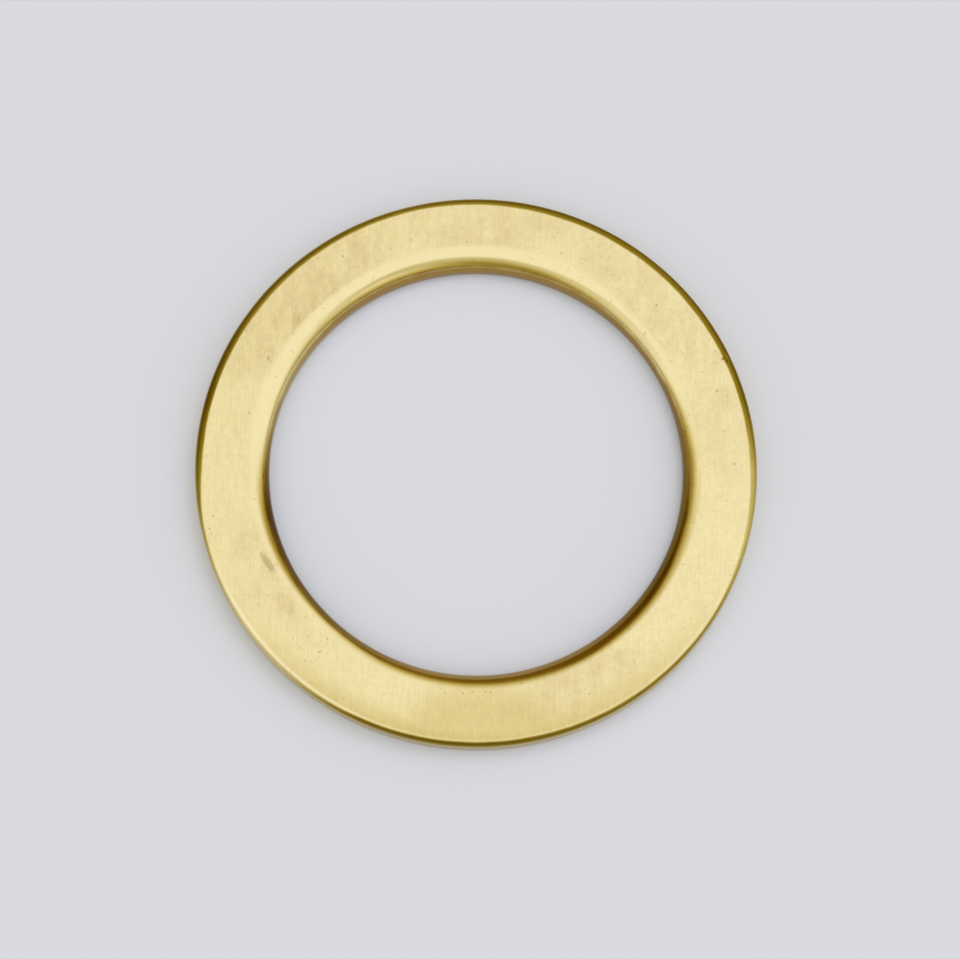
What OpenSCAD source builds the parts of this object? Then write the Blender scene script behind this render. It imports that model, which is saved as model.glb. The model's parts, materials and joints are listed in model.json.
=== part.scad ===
// Flat solid brass ring for straps, bags and belts.
// It lies flat: the bottom face is on z = 0 and the hole's axis is +Z.

/* [Ring] */
// Inside diameter, the size such a ring is sold by
inner_d = 38.1; // [12:0.1:80]
// Width of the flat band, from the hole to the outer edge
band_w = 6.8; // [5:0.1:16]
// Thickness of the band
thickness = 2.8; // [2.5:0.1:6]

/* [Edges] */
// Round over the hole's upper edge, worn smooth by the strap that runs over it
hole_round = 1.8; // [0.5:0.1:2.1]
// Round at the hole's lower edge
hole_under_round = 0.6; // [0.2:0.1:0.9]
// Round at the outer upper edge
rim_round = 0.6; // [0.2:0.05:1.2]
// Round at the outer lower edge
rim_under_round = 0.4; // [0.1:0.05:1]

/* [Hidden] */
$fn = 180;

inner_r = inner_d / 2;
outer_r = inner_r + band_w;

// What is cut off a square corner at the origin to round it, with the material in the first quadrant
module corner_waste(radius) {
    difference() {
        square(2 * radius, center = true);
        translate([radius, radius]) circle(radius);
    }
}

// The band's section, in radius and height: a flat bar with a round of its own on each edge
module band_section() {
    difference() {
        translate([inner_r, 0]) square([band_w, thickness]);
        translate([inner_r, thickness]) mirror([0, 1]) corner_waste(hole_round);
        translate([inner_r, 0]) corner_waste(hole_under_round);
        translate([outer_r, thickness]) rotate(180) corner_waste(rim_round);
        translate([outer_r, 0]) mirror([1, 0]) corner_waste(rim_under_round);
    }
}

module ring() {
    color("#d9c27c")
        rotate_extrude() band_section();
}

ring();
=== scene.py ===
"""Flat solid brass strap ring, brushed across its face, lying on a pale studio floor."""
import json
import math

import bpy
from mathutils import Matrix, Vector


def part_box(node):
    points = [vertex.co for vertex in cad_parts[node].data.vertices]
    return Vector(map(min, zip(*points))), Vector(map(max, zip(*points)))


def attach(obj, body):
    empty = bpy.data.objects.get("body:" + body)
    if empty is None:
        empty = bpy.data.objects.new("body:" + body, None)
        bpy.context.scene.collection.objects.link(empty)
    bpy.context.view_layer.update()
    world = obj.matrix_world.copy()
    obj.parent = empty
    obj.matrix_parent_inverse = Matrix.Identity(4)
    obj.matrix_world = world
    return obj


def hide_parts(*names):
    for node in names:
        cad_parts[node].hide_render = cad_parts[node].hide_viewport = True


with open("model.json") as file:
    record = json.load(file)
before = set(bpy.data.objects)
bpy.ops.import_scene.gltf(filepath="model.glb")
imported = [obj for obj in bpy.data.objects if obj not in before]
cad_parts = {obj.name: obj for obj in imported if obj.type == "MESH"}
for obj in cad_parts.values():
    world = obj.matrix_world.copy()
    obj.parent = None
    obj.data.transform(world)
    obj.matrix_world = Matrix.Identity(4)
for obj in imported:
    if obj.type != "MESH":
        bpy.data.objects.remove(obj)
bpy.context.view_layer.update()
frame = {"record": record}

MM = 0.001

# Sizes taken from the frame
ring_low, ring_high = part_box("ring")
bore = next(mount for mount in frame["record"]["mounts"] if mount["name"] == "bore")
HOLE_RADIUS = bore["dims"]["r_mm"] * MM
OUTER_RADIUS = (ring_high.x - ring_low.x) / 2
BAND_WIDTH = OUTER_RADIUS - HOLE_RADIUS
THICKNESS = ring_high.z - ring_low.z

# Rounds on the edges of the band
HOLE_ROUND = 1.8 * MM
HOLE_UNDER_ROUND = 0.6 * MM
RIM_ROUND = 0.6 * MM
RIM_UNDER_ROUND = 0.4 * MM

# How finely the ring is meshed
ROUND_POINTS = 48
SECTION_STEP = 0.14 * MM
STEPS_AROUND = 720

# Edges finished by hand: shallow unevenness, and a nick on the rim
UNEVEN_DEPTH = 0.03 * MM
UNEVEN_LENGTH = 4.0 * MM
NICK_PLACE = (23.1 * MM, 10.4 * MM, THICKNESS)
NICK_RADIUS = 0.4 * MM
NICK_DEPTH = 0.2 * MM

# Patterns on the brass, in mm; the belt's grain is about five times as coarse as real grit so that it shows
GRAIN_WIDTH = 0.14
GRAIN_LENGTH = 2.6
GRAIN_DEPTH = 0.004
MOTTLE_SIZE = 0.5
CLOUD_WIDTH = 1.1
CLOUD_LENGTH = 2.4
SCRATCH_BEND = 0.25
SCRATCH_BEND_SIZE = 0.8
POLISH_WANDER = 0.7
EDGE_WANDER = 1.8
HOLE_BORDER_WANDER = 0.2
RIM_BORDER_WANDER = 0.1

# How strongly the grain shades the brass, and the painted highlight that makes the polished band brighter
GRAIN_SHADE = 0.2
POLISH_HIGHLIGHT_GAIN = 1.01

# Tan tarnish: the noise at which its clouds begin and are full, how thick it is at each of the two,
# the share that is on the whole face, and how it thins away from the polish over a length in mm
CLOUD_NOISE = (0.34, 0.66)
CLOUD_AMOUNT = (0.25, 1.15)
TARNISH_EVERYWHERE = 0.12
TARNISH_THINS_OVER = 3.0
TARNISH_FAR_OUT = 0.6

# The clean face, its tan tarnish, a painted dim reflection at the front, a painted highlight on the rim's
# edge, and dirt in the marks
FACE_COLOUR = "#EBDAA2"
TAN_COLOUR = "#CEB27C"
REFLECTION_PATCH_COLOUR = "#C9B060"
RIM_HIGHLIGHT_COLOUR = "#F7EBC0"
DIRT_COLOUR = "#7E6636"

# How rough each finish is, what tarnish adds to it, and how far the tarnish and its painted dark reflection
# tint the sheen at a low angle
POLISHED_ROUGHNESS = 0.15
BRUSHED_ROUGHNESS = 0.25
TARNISH_ROUGHNESS = 0.2
SHEEN_TINT = 0.2

# Marks of each kind, in mm and degrees: spacing, half-width, half-length, mean lean and how far it varies
PIT = (0.5, 0.1, 0.12, 0, 180)
SCRATCH = (1.0, 0.065, 0.36, 0, 180)
STROKE = (0.3, 0.08, 0.34, 25, 24)

# How dark each kind of mark is, the share of it that strays over the whole face, and how deep a pit is
# as a share of the grain's depth
PIT_DARKNESS = 0.6
SCRATCH_DARKNESS = 0.25
STROKE_DARKNESS = 0.3
STRAY_PITS = 0.004
STRAY_SCRATCHES = 0.1
PIT_DEPTH = 0.5

# The part of a mark, and of an oval below, that is at full strength before it fades
MARK_CORE = 0.2
OVAL_CORE = 0.45

# Heights, as shares of the thickness, over which the marks set in on the face and the rim's tarnish and
# painted dark reflection on its wall, and what is left of them below
FACE_HEIGHT = (0.8, 0.93)
WALL_HEIGHT = (0.7, 0.96)
WALL_TARNISH_AND_DARK_REFLECTION = 0.06

# The band that the strap has polished round the hole: bearing, width and how soft its border is, in mm
POLISHED = [(0, 1.2, 0.7), (45, 1.4, 0.6), (66, 2.1, 0.22), (165, 2.1, 0.2), (185, 1.3, 0.6), (360, 1.2, 0.7)]

# Ovals on the face, in mm and degrees: x, y, half-width, half-length, lean from the grain, and strength
HANDLED = [(-15.8, 16.4, 4.0, 15.0, -46, 0.62), (-18.9, -10.6, 2.6, 9.0, 30, 0.34),
           (16.5, 16.5, 4.2, 15.0, 45, 0.36), (10.0, -20.4, 9.0, 3.6, 26, 0.5),
           (1.0, 23.4, 12.0, 3.4, 0, 0.4), (23.0, 6.4, 0.9, 2.6, 10, 0.5),
           (-17.4, -12.8, 1.1, 1.8, 30, 0.65), (22.4, 5.0, 3.4, 8.0, 10, 0.24)]
REFLECTION_PATCH = [(0.4, -25.0, 10.6, 6.2, 3, 0.5)]
PITTED = [(-24.1, -5.3, 0.9, 2.0, 8, 0.12), (0.2, -21.0, 5.0, 0.5, 0, 0.4)]
SCRATCHED = [(16.0, 16.5, 5.0, 16.0, 45, 0.34), (-17.5, -12.5, 4.0, 11.0, 35, 0.3),
             (-14.0, 17.0, 4.0, 10.0, -50, 0.2)]
SCUFFED = [(-19.0, -9.0, 0.5, 1.7, 27, 1.0)]
SPOTTED = [(22.2, 7.3, 0.24, 0.14, 30, 0.4), (16.7, 15.5, 0.16, 0.16, 0, 0.45),
           (15.6, 12.8, 0.26, 0.13, 60, 0.35), (-12.4, 20.1, 0.14, 0.18, 0, 0.4),
           (-19.2, 10.3, 0.2, 0.3, 0, 0.35), (-20.9, 5.1, 0.12, 0.2, 0, 0.3),
           (-6.1, 21.7, 0.15, 0.15, 0, 0.3), (7.9, 20.5, 0.22, 0.12, 30, 0.3),
           (22.8, 10.4, 0.3, 0.16, 40, 0.7), (23.7, 0.4, 0.12, 0.18, 0, 0.5),
           (-15.5, -18.0, 0.14, 0.14, 0, 0.35), (-14.2, -17.2, 0.24, 0.14, 20, 0.35),
           (-24.1, -4.6, 0.14, 0.12, 0, 0.4), (-24.4, -5.8, 0.12, 0.16, 30, 0.35),
           (-24.2, -6.3, 0.13, 0.13, 0, 0.3)]
SMUDGED = [(-19.4, -8.7, 0.22, 1.0, 27, 0.32), (-19.1, -8.95, 0.26, 1.3, 27, 0.42),
           (-18.8, -9.1, 0.22, 1.1, 27, 0.36)]

# The painted dim reflection at the front ends at a straight line on its left, at this x
REFLECTION_PATCH_LEFT = -8.4
REFLECTION_PATCH_BORDER = 0.5

# Along the rim by bearing: how strong the painted dim reflection is, and how bright the painted highlight on
# its edge is; then how far in from the rim each of them lies, in mm
RIM_FACE = [(0, 0, 0), (198, 0, 0), (212, 0.1, 0.7), (235, 0.6, 0.7), (260, 0.8, 0.3), (285, 0.7, 0.3),
            (315, 0.4, 0.3), (335, 0, 0), (360, 0, 0)]
REFLECTION_FROM_RIM = (3.0, 0.2)
HIGHLIGHT_FROM_RIM = (0.24, 0.42, 0.66)

# Tarnish and painted dark reflection at each bearing from +X towards +Y: how far they come in from the edge
# and over what length they fade, in mm, and how deep they are
RIM_TARNISH_AND_DARK_REFLECTION = [(0, 0.72, 0.14, 0.2), (14, 0.76, 0.12, 0.52), (70, 0.78, 0.12, 0.5), (105, 0.69, 0.1, 0.36),
               (145, 0.79, 0.12, 0.44), (165, 0.77, 0.12, 0.68), (180, 0.7, 0.14, 0.46),
               (194, 0.25, 0.12, 0.22), (225, 0.06, 0.1, 0.1), (246, 0.38, 0.14, 0.42),
               (280, 0.42, 0.14, 0.42), (300, 0.34, 0.12, 0.4), (325, 0.3, 0.1, 0.3), (345, 0.5, 0.14, 0.18),
               (360, 0.72, 0.14, 0.2)]
HOLE_TARNISH_AND_DARK_REFLECTION = [(0, 0.58, 0.2, 0.48), (12, 0.5, 0.16, 0.42), (30, 0.34, 0.15, 0.3), (70, 0.44, 0.18, 0.28),
                (130, 0.42, 0.15, 0.27), (158, 0.3, 0.15, 0.2), (172, 0.42, 0.2, 0.32),
                (182, 0.56, 0.18, 0.55), (192, 0.7, 0.2, 0.8), (204, 0.66, 0.2, 0.7), (226, 0.7, 0.25, 0.48),
                (255, 0.98, 0.26, 0.27), (285, 1.14, 0.26, 0.28), (300, 1.28, 0.25, 0.33),
                (316, 1.16, 0.25, 0.48), (330, 1.0, 0.25, 0.6), (350, 0.72, 0.22, 0.54),
                (360, 0.58, 0.2, 0.48)]

# What the olive tarnish of the rim and the brown tarnish of the hole, both with painted dark reflection,
# let through as they get deeper
RIM_COLOURS = [(0, "#FFFFFF"), (0.15, "#D8D2A6"), (0.3, "#BCB163"), (0.5, "#968832"), (0.75, "#745F16"),
               (1, "#553008")]
HOLE_COLOURS = [(0, "#FFFFFF"), (0.15, "#D8C9A8"), (0.3, "#B39A66"), (0.5, "#8E7830"), (0.75, "#6A4C18"),
                (1, "#4B2606")]

# How far down from overhead the soft light reaches, in degrees, at each bearing, and how softly it ends
LIGHT_REACH = [(0, 98), (30, 53), (57, 77), (78, 52), (120, 32), (158, 49), (206, 96), (262, 66), (322, 77),
               (360, 98)]
LIGHT_SOFTNESS = 62.0

# The light's brightness and tint from its edge inwards, and where in that edge it takes over from the
# surroundings
LIGHT_COLOURS = [(0.25, (0.42, 0.33, 0.08, 1)), (0.4, (0.52, 0.45, 0.16, 1)), (0.55, (0.69, 0.63, 0.34, 1)),
                 (0.7, (0.9, 0.88, 0.72, 1)), (0.82, (1.06, 1.07, 1.09, 1)), (1.0, (1.1, 1.13, 1.22, 1))]
LIGHT_EDGE = (0.1, 0.45)

# The surroundings at each bearing, just below that light and down at the horizon
SURROUNDINGS = [(0, "#A69044", "#9C8638"), (50, "#A08C40", "#A08C40"), (90, "#A69244", "#A89040"),
                (125, "#A08C40", "#A08A3C"), (152, "#94803A", "#94803A"), (182, "#A69248", "#9C8840"),
                (225, "#A8975A", "#A8975A"), (270, "#C9B878", "#B8A660"), (315, "#A08C4C", "#948044"),
                (360, "#A69044", "#9C8638")]
HORIZON_FROM = 68.0
HORIZON_TO = 84.0

# A warm grey card in front of the ring: bearing, degrees from overhead to its top and bottom, and dimming
CARD = [(190, 42, 85, 0), (207, 40, 85, 0.4), (236, 38, 85, 0.75), (255, 35, 84, 0.85), (270, 33, 80, 1),
        (288, 30, 58, 1), (305, 30, 51, 1), (326, 39, 70, 0.5), (338, 42, 80, 0.15), (350, 42, 80, 0)]
CARD_EDGE = 8.0
CARD_TINT = (0.635, 0.593, 0.38, 1)

# A broad lamp off to the back right, only for the shadows on the floor
LAMP_BEARING = 45.0
LAMP_ANGLE = 22.0
LAMP_WIDTH = 32.0
LAMP_STRENGTH = 0.35

# The floor, and the share of its brightness that is its own
FLOOR_RADIUS = 3.0
FLOOR_CORNERS = 96
FLOOR_DROP = 0.02 * MM
FLOOR_COLOUR = "#DEE1EE"
FLOOR_ROUGHNESS = 0.9
GLOW_COLOUR = "#DADDE4"
FLOOR_GLOW = 0.12

# The picture, in pixels, and where the ring's centre and outer edge lie in it
PICTURE_WIDTH = 960
PICTURE_HEIGHT = 959
CENTRE_PX = (476.2, 470.9)
OUTER_RADIUS_PX = 280.5

# The camera looks down from in front, a little off the vertical
CAMERA_TILT = math.radians(12.9)
CAMERA_AZIMUTH = math.radians(-93)
CAMERA_DISTANCE = 0.36
CAMERA_RANGE = 20
SENSOR_WIDTH = 36.0


def linear(hex_colour):
    """The linear colour of an sRGB hex value."""
    parts = [int(hex_colour[i:i + 2], 16) / 255 for i in (1, 3, 5)]
    return (*[c / 12.92 if c <= 0.04045 else ((c + 0.055) / 1.055) ** 2.4 for c in parts], 1.0)


def first_output(node):
    """The first output that the node's settings leave in use."""
    return next(socket for socket in node.outputs if socket.enabled)


def add(tree, kind, settings={}, inputs={}, stops=()):
    """Adds a node with its settings, inputs (values, sockets or nodes) and, on a colour ramp, its stops."""
    node = tree.nodes.new(kind)
    for name, value in settings.items():
        setattr(node, name, value)
    for key, value in inputs.items():
        socket = next(s for i, s in enumerate(node.inputs) if key == i or (key == s.name and s.enabled))
        if isinstance(value, bpy.types.Node):
            value = first_output(value)
        if isinstance(value, bpy.types.NodeSocket):
            tree.links.new(value, socket)
        else:
            socket.default_value = value
    for _ in stops[2:]:
        node.color_ramp.elements.new(0.5)
    for (place, colour), element in zip(stops, node.color_ramp.elements if stops else ()):
        element.position = place
        element.color = colour
    return node


def by_bearing(tree, axes, rows):
    """A colour that changes with the bearing from +X towards +Y, through rows of degrees and colour."""
    angle = add(tree, "ShaderNodeMath", {"operation": "ARCTAN2"}, {0: axes["Y"], 1: axes["X"]})
    turn = add(tree, "ShaderNodeMath", {"operation": "MULTIPLY"}, {0: angle, 1: 1 / math.tau})
    share = add(tree, "ShaderNodeMath", {"operation": "FRACT"}, {0: turn})
    return add(tree, "ShaderNodeValToRGB", inputs={"Fac": share}, stops=[
        (degrees / 360, colour) for degrees, colour in rows])


def numbers_by_bearing(tree, axes, rows):
    """Up to three numbers that change with the bearing, as outputs X, Y and Z."""
    colours = [(degrees, (*values, 0, 0, 0)[:3] + (1,)) for degrees, *values in rows]
    return add(tree, "ShaderNodeSeparateXYZ", inputs={0: by_bearing(tree, axes, colours)}).outputs


def ring_tree():
    """Geometry nodes that round the band's four edges and sweep the section round the hole."""
    tree = bpy.data.node_groups.new("Strap ring", "GeometryNodeTree")
    kinds = {"Hole radius": "Float", "Band width": "Float", "Thickness": "Float", "Hole round": "Float",
             "Hole under round": "Float", "Rim round": "Float", "Rim under round": "Float",
             "Section step": "Float", "Steps around": "Int", "Uneven depth": "Float",
             "Uneven length": "Float", "Nick place": "Vector", "Nick radius": "Float", "Nick depth": "Float",
             "Finish": "Material"}
    inputs = {}
    for name, kind in kinds.items():
        socket = tree.interface.new_socket(name, in_out="INPUT", socket_type="NodeSocket" + kind)
        inputs[name] = socket.identifier
    tree.interface.new_socket("Ring", in_out="OUTPUT", socket_type="NodeSocketGeometry")
    size = add(tree, "NodeGroupInput").outputs

    # The section is drawn with the hole on its left and, because the sweep turns it over, its top downwards
    bar = add(tree, "GeometryNodeCurvePrimitiveQuadrilateral", inputs={
        "Width": size["Band width"], "Height": size["Thickness"]})
    corner = add(tree, "ShaderNodeSeparateXYZ", inputs={0: add(tree, "GeometryNodeInputPosition")}).outputs
    at_hole = add(tree, "FunctionNodeCompare", {"operation": "LESS_THAN"}, {"A": corner["X"], "B": 0.0})
    at_top = add(tree, "FunctionNodeCompare", {"operation": "LESS_THAN"}, {"A": corner["Y"], "B": 0.0})
    upper = add(tree, "GeometryNodeSwitch", {"input_type": "FLOAT"}, {
        "Switch": at_hole, "False": size["Rim round"], "True": size["Hole round"]})
    lower = add(tree, "GeometryNodeSwitch", {"input_type": "FLOAT"}, {
        "Switch": at_hole, "False": size["Rim under round"], "True": size["Hole under round"]})
    edge_round = add(tree, "GeometryNodeSwitch", {"input_type": "FLOAT"}, {
        "Switch": at_top, "False": lower, "True": upper})
    rounded = add(tree, "GeometryNodeFilletCurve", {"mode": "POLY"}, {
        "Curve": bar, "Radius": edge_round, "Count": ROUND_POINTS})
    section = add(tree, "GeometryNodeResampleCurve", {"mode": "LENGTH"}, {
        "Curve": rounded, "Length": size["Section step"]})

    half_band = add(tree, "ShaderNodeMath", {"operation": "MULTIPLY"}, {0: size["Band width"], 1: 0.5})
    middle = add(tree, "ShaderNodeMath", {"operation": "ADD"}, {0: size["Hole radius"], 1: half_band})
    path = add(tree, "GeometryNodeCurvePrimitiveCircle", inputs={
        "Resolution": size["Steps around"], "Radius": middle})
    band = add(tree, "GeometryNodeCurveToMesh", inputs={"Curve": path, "Profile Curve": section})
    half_height = add(tree, "ShaderNodeMath", {"operation": "MULTIPLY"}, {0: size["Thickness"], 1: 0.5})
    lift = add(tree, "ShaderNodeCombineXYZ", inputs={"Z": half_height})
    standing = add(tree, "GeometryNodeTransform", inputs={"Geometry": band, "Translation": lift})

    # Hand finishing takes the surface in a little unevenly, and a knock has nicked the rim
    here = add(tree, "GeometryNodeInputPosition")
    per_wave = add(tree, "ShaderNodeMath", {"operation": "DIVIDE"}, {0: 1.0, 1: size["Uneven length"]})
    waves = add(tree, "ShaderNodeTexNoise", inputs={"Vector": here, "Scale": per_wave, "Detail": 2.0})
    uneven = add(tree, "ShaderNodeMath", {"operation": "MULTIPLY"}, {0: waves, 1: size["Uneven depth"]})
    to_nick = add(tree, "ShaderNodeVectorMath", {"operation": "DISTANCE"}, {0: here, 1: size["Nick place"]})
    nick = add(tree, "ShaderNodeMapRange", {"interpolation_type": "SMOOTHSTEP"}, {
        "Value": to_nick.outputs["Value"], "From Min": size["Nick radius"], "From Max": 0.0,
        "To Max": size["Nick depth"]})
    taken = add(tree, "ShaderNodeMath", {"operation": "ADD"}, {0: uneven, 1: nick})
    inwards = add(tree, "ShaderNodeMath", {"operation": "MULTIPLY"}, {0: taken, 1: -1.0})
    shift = add(tree, "ShaderNodeVectorMath", {"operation": "SCALE"}, {
        0: add(tree, "GeometryNodeInputNormal"), "Scale": inwards})
    finished_by_hand = add(tree, "GeometryNodeSetPosition", inputs={"Geometry": standing, "Offset": shift})

    smooth = add(tree, "GeometryNodeSetShadeSmooth", inputs={0: finished_by_hand})
    real = add(tree, "GeometryNodeRealizeInstances", inputs={0: smooth})
    finished = add(tree, "GeometryNodeSetMaterial", inputs={"Geometry": real, "Material": size["Finish"]})
    add(tree, "NodeGroupOutput", inputs={0: finished})
    return tree, inputs


def made_by(tree, inputs, values, name):
    """A plain mesh object with what a geometry-node tree makes from these values."""
    piece = bpy.data.objects.new(name, bpy.data.meshes.new(name))
    bpy.context.scene.collection.objects.link(piece)
    modifier = piece.modifiers.new(name, "NODES")
    modifier.node_group = tree
    for key, value in values.items():
        modifier[inputs[key]] = value
    depsgraph = bpy.context.evaluated_depsgraph_get()
    made = bpy.data.meshes.new_from_object(piece.evaluated_get(depsgraph), depsgraph=depsgraph)
    piece.modifiers.remove(modifier)
    piece.data = made
    made.name = name
    return piece


def ovals(tree, flat, rows):
    """A mask with an oval for each row, which fades out at its edge."""
    mask = None
    for x, y, half_width, half_length, lean, strength in rows:
        local = add(tree, "ShaderNodeMapping", {"vector_type": "TEXTURE"}, {
            "Vector": flat, "Location": (x, y, 0), "Rotation": (0, 0, math.radians(lean)),
            "Scale": (half_width, half_length, 1)})
        out = add(tree, "ShaderNodeVectorMath", {"operation": "LENGTH"}, {0: local})
        oval = add(tree, "ShaderNodeMapRange", {"interpolation_type": "SMOOTHSTEP"}, {
            "Value": out.outputs["Value"], "From Min": 1.0, "From Max": OVAL_CORE, "To Max": strength})
        mask = add(tree, "ShaderNodeMath", {"operation": "MAXIMUM"}, {0: mask, 1: oval}) if mask else oval
    return mask


def scattered(tree, flat, mark, share):
    """A mask of short marks, one to a cell, turned at random and kept where the share allows."""
    spacing, half_width, half_length, lean, varied = mark
    cells = add(tree, "ShaderNodeTexVoronoi", {"voronoi_dimensions": "2D"}, {
        "Vector": flat, "Scale": 1 / spacing})
    chance = add(tree, "ShaderNodeSeparateXYZ", inputs={0: cells.outputs["Color"]}).outputs
    across = add(tree, "ShaderNodeVectorMath", {"operation": "SUBTRACT"}, {
        0: flat, 1: cells.outputs["Position"]})
    angle = add(tree, "ShaderNodeMath", {"operation": "MULTIPLY_ADD"}, {
        0: chance["X"], 1: math.radians(varied), 2: math.radians(-lean - varied / 2)})
    turned = add(tree, "ShaderNodeVectorRotate", {"rotation_type": "Z_AXIS"}, {
        "Vector": across, "Angle": angle})
    drawn = add(tree, "ShaderNodeMapping", inputs={
        "Vector": turned, "Scale": (1 / half_width, 1 / half_length, 1)})
    out = add(tree, "ShaderNodeVectorMath", {"operation": "LENGTH"}, {0: drawn})
    shape = add(tree, "ShaderNodeMapRange", {"interpolation_type": "SMOOTHSTEP"}, {
        "Value": out.outputs["Value"], "From Min": 1.0, "From Max": MARK_CORE})
    kept = add(tree, "ShaderNodeMath", {"operation": "LESS_THAN"}, {0: chance["Y"], 1: share})
    return add(tree, "ShaderNodeMath", {"operation": "MULTIPLY"}, {0: shape, 1: kept})


def tarnish_and_reflection_depth(tree, axes, distance, rows):
    """How deep the tarnish and painted dark reflection are at a distance from an edge, from their reach, fade
    and depth at each bearing.
    """
    around = numbers_by_bearing(tree, axes, rows)
    within = add(tree, "ShaderNodeMath", {"operation": "SUBTRACT"}, {0: around["X"], 1: distance})
    in_fades = add(tree, "ShaderNodeMath", {"operation": "DIVIDE"}, {0: within, 1: around["Y"]})
    return add(tree, "ShaderNodeMapRange", {"interpolation_type": "SMOOTHSTEP"}, {
        "Value": in_fades, "From Min": -1.0, "From Max": 1.0, "To Max": around["Z"]})


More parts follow.
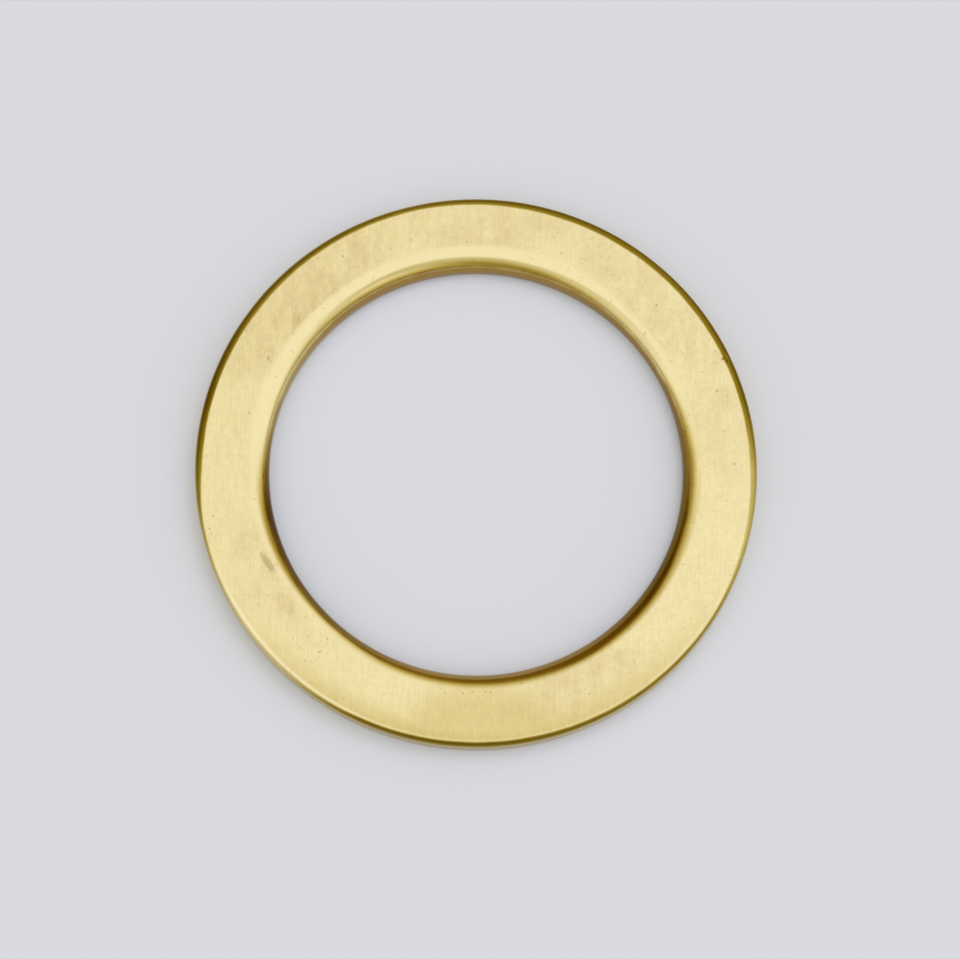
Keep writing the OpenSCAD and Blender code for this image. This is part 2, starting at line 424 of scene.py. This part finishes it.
def brushed_brass():
    """Solid brass, ground flat on a belt: a pale satin face with straight grain, and edges left browner by
    tarnish and painted dark reflection.
    """
    material = bpy.data.materials.new("Brushed brass")
    material.use_nodes = True
    tree = material.node_tree
    shader = tree.nodes["Principled BSDF"]
    shader.inputs["Metallic"].default_value = 1.0
    metres = add(tree, "ShaderNodeTexCoord").outputs["Object"]
    place = add(tree, "ShaderNodeVectorMath", {"operation": "SCALE"}, {0: metres, "Scale": 1 / MM})
    axes = add(tree, "ShaderNodeSeparateXYZ", inputs={0: place}).outputs
    flat = add(tree, "ShaderNodeCombineXYZ", inputs={"X": axes["X"], "Y": axes["Y"]})
    radius = add(tree, "ShaderNodeVectorMath", {"operation": "LENGTH"}, {0: flat}).outputs["Value"]
    from_hole = add(tree, "ShaderNodeMath", {"operation": "SUBTRACT"}, {0: radius, 1: HOLE_RADIUS / MM})
    from_rim = add(tree, "ShaderNodeMath", {"operation": "SUBTRACT"}, {0: OUTER_RADIUS / MM, 1: radius})

    # Belt grain, straight across the ring, and fine mottling between its lines
    along = add(tree, "ShaderNodeMapping", inputs={
        "Vector": place, "Scale": (1 / GRAIN_WIDTH, 1 / GRAIN_LENGTH, 1 / GRAIN_WIDTH)})
    grain = add(tree, "ShaderNodeTexNoise", inputs={
        "Vector": along, "Scale": 1.0, "Detail": 3.0, "Roughness": 0.6})
    mottle = add(tree, "ShaderNodeTexNoise", inputs={
        "Vector": place, "Scale": 1 / MOTTLE_SIZE, "Detail": 4.0, "Roughness": 0.6})
    both = add(tree, "ShaderNodeMath", {"operation": "ADD"}, {0: grain, 1: mottle})
    level = add(tree, "ShaderNodeMath", {"operation": "SUBTRACT"}, {0: both, 1: 1.0})

    # The strap's polish round the hole, made a little brighter by a painted highlight, and the belt's
    # brushing, whose strokes run into it
    polished = numbers_by_bearing(tree, axes, POLISHED)
    past_polish = add(tree, "ShaderNodeMath", {"operation": "SUBTRACT"}, {0: from_hole, 1: polished["X"]})
    frayed = add(tree, "ShaderNodeMath", {"operation": "MULTIPLY_ADD"}, {
        0: level, 1: POLISH_WANDER, 2: past_polish})
    in_borders = add(tree, "ShaderNodeMath", {"operation": "DIVIDE"}, {0: frayed, 1: polished["Y"]})
    brushed = add(tree, "ShaderNodeMapRange", {"interpolation_type": "SMOOTHSTEP"}, {
        "Value": in_borders, "From Min": -1.0, "From Max": 1.0})
    ground = add(tree, "ShaderNodeMath", {"operation": "MULTIPLY"}, {0: level, 1: brushed})
    polish_highlight = add(tree, "ShaderNodeMapRange", inputs={
        "Value": brushed, "To Min": POLISH_HIGHLIGHT_GAIN, "To Max": 1.0})
    grain_and_highlight = add(tree, "ShaderNodeMath", {"operation": "MULTIPLY_ADD"}, {
        0: ground, 1: GRAIN_SHADE, 2: polish_highlight})

    # Tan tarnish in streaks along the grain, thicker where the ring has been handled and next to the polish
    streaked = add(tree, "ShaderNodeMapping", inputs={
        "Vector": place, "Scale": (1 / CLOUD_WIDTH, 1 / CLOUD_LENGTH, 1 / CLOUD_WIDTH)})
    clouds = add(tree, "ShaderNodeTexNoise", inputs={
        "Vector": streaked, "Scale": 1.0, "Detail": 6.0, "Roughness": 0.65})
    cloudy = add(tree, "ShaderNodeMapRange", inputs={
        "Value": clouds, "From Min": CLOUD_NOISE[0], "From Max": CLOUD_NOISE[1],
        "To Min": CLOUD_AMOUNT[0], "To Max": CLOUD_AMOUNT[1]})
    near_polish = add(tree, "ShaderNodeMapRange", inputs={
        "Value": past_polish, "From Max": TARNISH_THINS_OVER, "To Min": 1.0, "To Max": TARNISH_FAR_OUT})
    on_brushed = add(tree, "ShaderNodeMath", {"operation": "MULTIPLY"}, {0: near_polish, 1: brushed})
    handled = add(tree, "ShaderNodeMath", {"operation": "MULTIPLY"}, {
        0: ovals(tree, flat, HANDLED), 1: on_brushed})
    cover = add(tree, "ShaderNodeMath", {"operation": "ADD"}, {0: handled, 1: TARNISH_EVERYWHERE})
    tan = add(tree, "ShaderNodeMath", {"operation": "MULTIPLY"}, {0: cloudy, 1: cover})
    face = add(tree, "ShaderNodeMix", {"data_type": "RGBA"}, {
        "Factor": tan, "A": linear(FACE_COLOUR), "B": linear(TAN_COLOUR)})

    # A painted dim, yellower reflection at the front with a straight left border, and more of that painted
    # reflection along the rim there
    reflection_side = add(tree, "ShaderNodeMapRange", {"interpolation_type": "SMOOTHSTEP"}, {
        "Value": axes["X"], "From Min": REFLECTION_PATCH_LEFT - REFLECTION_PATCH_BORDER, "From Max": REFLECTION_PATCH_LEFT + REFLECTION_PATCH_BORDER})
    reflection_patch = add(tree, "ShaderNodeMath", {"operation": "MULTIPLY"}, {
        0: ovals(tree, flat, REFLECTION_PATCH), 1: reflection_side})
    along_rim = numbers_by_bearing(tree, axes, RIM_FACE)
    near_rim = add(tree, "ShaderNodeMapRange", {"interpolation_type": "SMOOTHSTEP"}, {
        "Value": from_rim, "From Min": REFLECTION_FROM_RIM[0], "From Max": REFLECTION_FROM_RIM[1]})
    rim_reflection = add(tree, "ShaderNodeMath", {"operation": "MULTIPLY"}, {0: near_rim, 1: along_rim["X"]})
    dim_reflection = add(tree, "ShaderNodeMath", {"operation": "MAXIMUM"}, {0: reflection_patch, 1: rim_reflection})
    dimly_reflected = add(tree, "ShaderNodeMix", {"data_type": "RGBA"}, {
        "Factor": dim_reflection, "A": face, "B": linear(REFLECTION_PATCH_COLOUR)})
    grained = add(tree, "ShaderNodeMix", {"data_type": "RGBA", "blend_type": "MULTIPLY"}, {
        "Factor": 1.0, "A": dimly_reflected, "B": grain_and_highlight})
    # A painted highlight along the rim's edge at the front
    highlight_from, highlight_most, highlight_to = HIGHLIGHT_FROM_RIM
    at_edge = add(tree, "ShaderNodeValToRGB", inputs={"Fac": from_rim}, stops=[
        (highlight_from, (0, 0, 0, 1)), (highlight_most, (1, 1, 1, 1)), (highlight_to, (0, 0, 0, 1))])
    edge_highlight = add(tree, "ShaderNodeMath", {"operation": "MULTIPLY"}, {0: at_edge, 1: along_rim["Y"]})
    highlighted = add(tree, "ShaderNodeMix", {"data_type": "RGBA"}, {
        "Factor": edge_highlight, "A": grained, "B": linear(RIM_HIGHLIGHT_COLOUR)})

    # Pits, scratches in any direction, scuffs of short strokes, spots and a smudge, on the upper face alone
    bends = add(tree, "ShaderNodeTexNoise", inputs={"Vector": flat, "Scale": 1 / SCRATCH_BEND_SIZE})
    bent = add(tree, "ShaderNodeVectorMath", {"operation": "MULTIPLY_ADD"}, {
        0: bends.outputs["Color"], 1: (SCRATCH_BEND, SCRATCH_BEND, 0), 2: flat})
    few_pits = add(tree, "ShaderNodeMath", {"operation": "ADD"}, {
        0: ovals(tree, flat, PITTED), 1: STRAY_PITS})
    pits = scattered(tree, flat, PIT, few_pits)
    few_scratches = add(tree, "ShaderNodeMath", {"operation": "ADD"}, {
        0: ovals(tree, flat, SCRATCHED), 1: STRAY_SCRATCHES})
    scratches = scattered(tree, bent, SCRATCH, few_scratches)
    strokes = scattered(tree, bent, STROKE, ovals(tree, flat, SCUFFED))
    dark_pits = add(tree, "ShaderNodeMath", {"operation": "MULTIPLY"}, {0: pits, 1: PIT_DARKNESS})
    faint = add(tree, "ShaderNodeMath", {"operation": "MULTIPLY"}, {0: scratches, 1: SCRATCH_DARKNESS})
    soft = add(tree, "ShaderNodeMath", {"operation": "MULTIPLY"}, {0: strokes, 1: STROKE_DARKNESS})
    lines = add(tree, "ShaderNodeMath", {"operation": "MAXIMUM"}, {0: faint, 1: soft})
    spots = add(tree, "ShaderNodeMath", {"operation": "MAXIMUM"}, {
        0: dark_pits, 1: ovals(tree, flat, SPOTTED + SMUDGED)})
    anywhere = add(tree, "ShaderNodeMath", {"operation": "MAXIMUM"}, {0: spots, 1: lines})
    on_face = add(tree, "ShaderNodeMapRange", {"interpolation_type": "SMOOTHSTEP"}, {
        "Value": axes["Z"],
        "From Min": FACE_HEIGHT[0] * THICKNESS / MM, "From Max": FACE_HEIGHT[1] * THICKNESS / MM})
    marks = add(tree, "ShaderNodeMath", {"operation": "MULTIPLY"}, {0: anywhere, 1: on_face})
    marked = add(tree, "ShaderNodeMix", {"data_type": "RGBA"}, {
        "Factor": marks, "A": highlighted, "B": linear(DIRT_COLOUR)})

    # Tarnish and painted dark reflection round the hole and along the rim, with uneven borders, and thinner
    # on the rim's wall; they tint the sheen too
    wander = add(tree, "ShaderNodeTexNoise", inputs={
        "Vector": place, "Scale": 1 / EDGE_WANDER, "Detail": 3.0})
    uneven_hole = add(tree, "ShaderNodeMath", {"operation": "MULTIPLY_ADD"}, {
        0: wander, 1: HOLE_BORDER_WANDER, 2: from_hole})
    uneven_rim = add(tree, "ShaderNodeMath", {"operation": "MULTIPLY_ADD"}, {
        0: wander, 1: RIM_BORDER_WANDER, 2: from_rim})
    up_wall = add(tree, "ShaderNodeMapRange", {"interpolation_type": "SMOOTHSTEP"}, {
        "Value": axes["Z"], "From Min": WALL_HEIGHT[0] * THICKNESS / MM,
        "From Max": WALL_HEIGHT[1] * THICKNESS / MM, "To Min": WALL_TARNISH_AND_DARK_REFLECTION})
    at_rim = tarnish_and_reflection_depth(tree, axes, uneven_rim, RIM_TARNISH_AND_DARK_REFLECTION)
    on_rim = add(tree, "ShaderNodeMath", {"operation": "MULTIPLY"}, {0: at_rim, 1: up_wall})
    round_hole = tarnish_and_reflection_depth(tree, axes, uneven_hole, HOLE_TARNISH_AND_DARK_REFLECTION)
    olive = add(tree, "ShaderNodeValToRGB", inputs={"Fac": on_rim}, stops=[
        (depth, linear(colour)) for depth, colour in RIM_COLOURS])
    brown = add(tree, "ShaderNodeValToRGB", inputs={"Fac": round_hole}, stops=[
        (depth, linear(colour)) for depth, colour in HOLE_COLOURS])
    tarnish_and_dark_reflection = add(tree, "ShaderNodeMix", {"data_type": "RGBA", "blend_type": "MULTIPLY"}, {
        "Factor": 1.0, "A": olive, "B": brown})
    with_tarnish_and_dark_reflection = add(tree, "ShaderNodeMix", {"data_type": "RGBA", "blend_type": "MULTIPLY"}, {
        "Factor": 1.0, "A": marked, "B": tarnish_and_dark_reflection})
    tree.links.new(first_output(with_tarnish_and_dark_reflection), shader.inputs["Base Color"])
    sheen = add(tree, "ShaderNodeMix", {"data_type": "RGBA"}, {
        "Factor": SHEEN_TINT, "A": linear("#FFFFFF"), "B": tarnish_and_dark_reflection})
    tree.links.new(first_output(sheen), shader.inputs["Specular Tint"])

    # Satin on the face, smooth round the hole, dull on the rim
    satin = add(tree, "ShaderNodeMapRange", inputs={
        "Value": brushed, "To Min": POLISHED_ROUGHNESS, "To Max": BRUSHED_ROUGHNESS})
    dull = add(tree, "ShaderNodeMath", {"operation": "MULTIPLY_ADD"}, {
        0: on_rim, 1: TARNISH_ROUGHNESS, 2: satin})
    tree.links.new(first_output(dull), shader.inputs["Roughness"])

    sunk = add(tree, "ShaderNodeMath", {"operation": "MULTIPLY"}, {0: pits, 1: on_face})
    height = add(tree, "ShaderNodeMath", {"operation": "MULTIPLY_ADD"}, {0: sunk, 1: -PIT_DEPTH, 2: ground})
    bump = add(tree, "ShaderNodeBump", inputs={
        "Strength": 1.0, "Distance": GRAIN_DEPTH * MM, "Height": height})
    tree.links.new(first_output(bump), shader.inputs["Normal"])
    return material


def studio_world():
    """A soft light overhead that reaches further down on some sides, over warm, dimmer surroundings."""
    world = bpy.data.worlds.new("Studio")
    bpy.context.scene.world = world
    world.use_nodes = True
    tree = world.node_tree
    heading = add(tree, "ShaderNodeTexCoord").outputs["Generated"]
    axes = add(tree, "ShaderNodeSeparateXYZ", inputs={0: heading}).outputs
    reach = by_bearing(tree, axes, [
        (degrees, (limit / 180, limit / 180, limit / 180, 1)) for degrees, limit in LIGHT_REACH])
    reach.color_ramp.interpolation = "EASE"
    angle = add(tree, "ShaderNodeMath", {"operation": "ARCCOSINE"}, {0: axes["Z"]})
    spare = add(tree, "ShaderNodeMath", {"operation": "MULTIPLY_ADD"}, {0: angle, 1: -1 / math.pi, 2: reach})
    inside = add(tree, "ShaderNodeMath", {"operation": "MULTIPLY_ADD"}, {
        0: spare, 1: 180 / LIGHT_SOFTNESS, 2: 0.5})
    light = add(tree, "ShaderNodeValToRGB", inputs={"Fac": inside}, stops=LIGHT_COLOURS)
    lit = add(tree, "ShaderNodeMapRange", {"interpolation_type": "SMOOTHSTEP"}, {
        "Value": inside, "From Min": LIGHT_EDGE[0], "From Max": LIGHT_EDGE[1]})
    upper = by_bearing(tree, axes, [(degrees, linear(high)) for degrees, high, _ in SURROUNDINGS])
    lower = by_bearing(tree, axes, [(degrees, linear(low)) for degrees, _, low in SURROUNDINGS])
    down = add(tree, "ShaderNodeMapRange", {"interpolation_type": "SMOOTHSTEP"}, {
        "Value": angle, "From Min": math.radians(HORIZON_FROM), "From Max": math.radians(HORIZON_TO)})
    surroundings = add(tree, "ShaderNodeMix", {"data_type": "RGBA"}, {"Factor": down, "A": upper, "B": lower})
    sky = add(tree, "ShaderNodeMix", {"data_type": "RGBA"}, {"Factor": lit, "A": surroundings, "B": light})

    card = numbers_by_bearing(tree, axes, [
        (degrees, top / 180, bottom / 180, dim) for degrees, top, bottom, dim in CARD])
    half_turns = add(tree, "ShaderNodeMath", {"operation": "MULTIPLY"}, {0: angle, 1: 1 / math.pi})
    below_top = add(tree, "ShaderNodeMath", {"operation": "SUBTRACT"}, {0: half_turns, 1: card["X"]})
    above_bottom = add(tree, "ShaderNodeMath", {"operation": "SUBTRACT"}, {0: card["Y"], 1: half_turns})
    within = add(tree, "ShaderNodeMath", {"operation": "MINIMUM"}, {0: below_top, 1: above_bottom})
    covered = add(tree, "ShaderNodeMapRange", {"interpolation_type": "SMOOTHSTEP"}, {
        "Value": within, "From Min": -CARD_EDGE / 180, "From Max": CARD_EDGE / 180, "To Max": card["Z"]})
    dimmed = add(tree, "ShaderNodeMix", {"data_type": "RGBA", "blend_type": "MULTIPLY"}, {
        "Factor": covered, "A": sky, "B": CARD_TINT})
    tree.links.new(first_output(dimmed), tree.nodes["Background"].inputs["Color"])


def shadow_lamp():
    """A broad soft lamp that the metal doesn't mirror."""
    data = bpy.data.lights.new("Soft lamp", "SUN")
    data.energy = LAMP_STRENGTH
    data.angle = math.radians(LAMP_WIDTH)
    lamp = bpy.data.objects.new("Soft lamp", data)
    bpy.context.scene.collection.objects.link(lamp)
    lamp.rotation_euler = (0, math.radians(LAMP_ANGLE), math.radians(LAMP_BEARING))
    lamp.visible_glossy = False


def pale_floor():
    """A pale card, part of whose brightness is its own, so that the ring's shadow on it stays light."""
    material = bpy.data.materials.new("Pale card")
    material.use_nodes = True
    tree = material.node_tree
    shader = tree.nodes["Principled BSDF"]
    shader.inputs["Base Color"].default_value = linear(FLOOR_COLOUR)
    shader.inputs["Roughness"].default_value = FLOOR_ROUGHNESS
    glow = add(tree, "ShaderNodeEmission", inputs={"Color": linear(GLOW_COLOUR)})
    rays = add(tree, "ShaderNodeLightPath").outputs
    direct = add(tree, "ShaderNodeMath", {"operation": "MAXIMUM"}, {
        0: rays["Is Camera Ray"], 1: rays["Is Glossy Ray"]})
    seen = add(tree, "ShaderNodeMath", {"operation": "MAXIMUM"}, {0: direct, 1: rays["Is Transmission Ray"]})
    share = add(tree, "ShaderNodeMath", {"operation": "MULTIPLY"}, {0: seen, 1: FLOOR_GLOW})
    mixed = add(tree, "ShaderNodeMixShader", inputs={0: share, 1: shader, 2: glow})
    tree.links.new(first_output(mixed), tree.nodes["Material Output"].inputs["Surface"])
    bpy.ops.mesh.primitive_circle_add(
        vertices=FLOOR_CORNERS, radius=FLOOR_RADIUS, fill_type="NGON", location=(0, 0, -FLOOR_DROP))
    floor = bpy.context.object
    floor.name = "floor"
    floor.data.materials.append(material)


def photo_camera():
    """Looks at the ring from the picture's angle, with the ring where the picture has it."""
    data = bpy.data.cameras.new("Camera")
    camera = bpy.data.objects.new("Camera", data)
    bpy.context.scene.collection.objects.link(camera)
    bpy.context.scene.camera = camera
    back = Vector((math.sin(CAMERA_TILT) * math.cos(CAMERA_AZIMUTH),
                   math.sin(CAMERA_TILT) * math.sin(CAMERA_AZIMUTH), math.cos(CAMERA_TILT)))
    right = Vector((0, 1, 0)).cross(back).normalized()
    up = back.cross(right)
    target = Vector((0, 0, THICKNESS / 2))
    turn = Matrix((right, up, back)).transposed().to_4x4()
    camera.matrix_world = Matrix.Translation(target + back * CAMERA_DISTANCE) @ turn
    data.sensor_width = SENSOR_WIDTH
    metres_per_pixel = OUTER_RADIUS / OUTER_RADIUS_PX
    data.lens = SENSOR_WIDTH * CAMERA_DISTANCE / (PICTURE_WIDTH * metres_per_pixel)
    data.shift_x = (PICTURE_WIDTH / 2 - CENTRE_PX[0]) / PICTURE_WIDTH
    data.shift_y = (CENTRE_PX[1] - PICTURE_HEIGHT / 2) / PICTURE_WIDTH
    data.clip_end = CAMERA_RANGE


bpy.context.scene.view_settings.view_transform = "Standard"
tree, inputs = ring_tree()
ring = made_by(tree, inputs, {
    "Hole radius": HOLE_RADIUS, "Band width": BAND_WIDTH, "Thickness": THICKNESS, "Hole round": HOLE_ROUND,
    "Hole under round": HOLE_UNDER_ROUND, "Rim round": RIM_ROUND, "Rim under round": RIM_UNDER_ROUND,
    "Section step": SECTION_STEP, "Steps around": STEPS_AROUND, "Uneven depth": UNEVEN_DEPTH,
    "Uneven length": UNEVEN_LENGTH, "Nick place": NICK_PLACE, "Nick radius": NICK_RADIUS,
    "Nick depth": NICK_DEPTH, "Finish": brushed_brass()}, "brass_ring")
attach(ring, "root")
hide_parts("ring")
studio_world()
shadow_lamp()
pale_floor()
photo_camera()
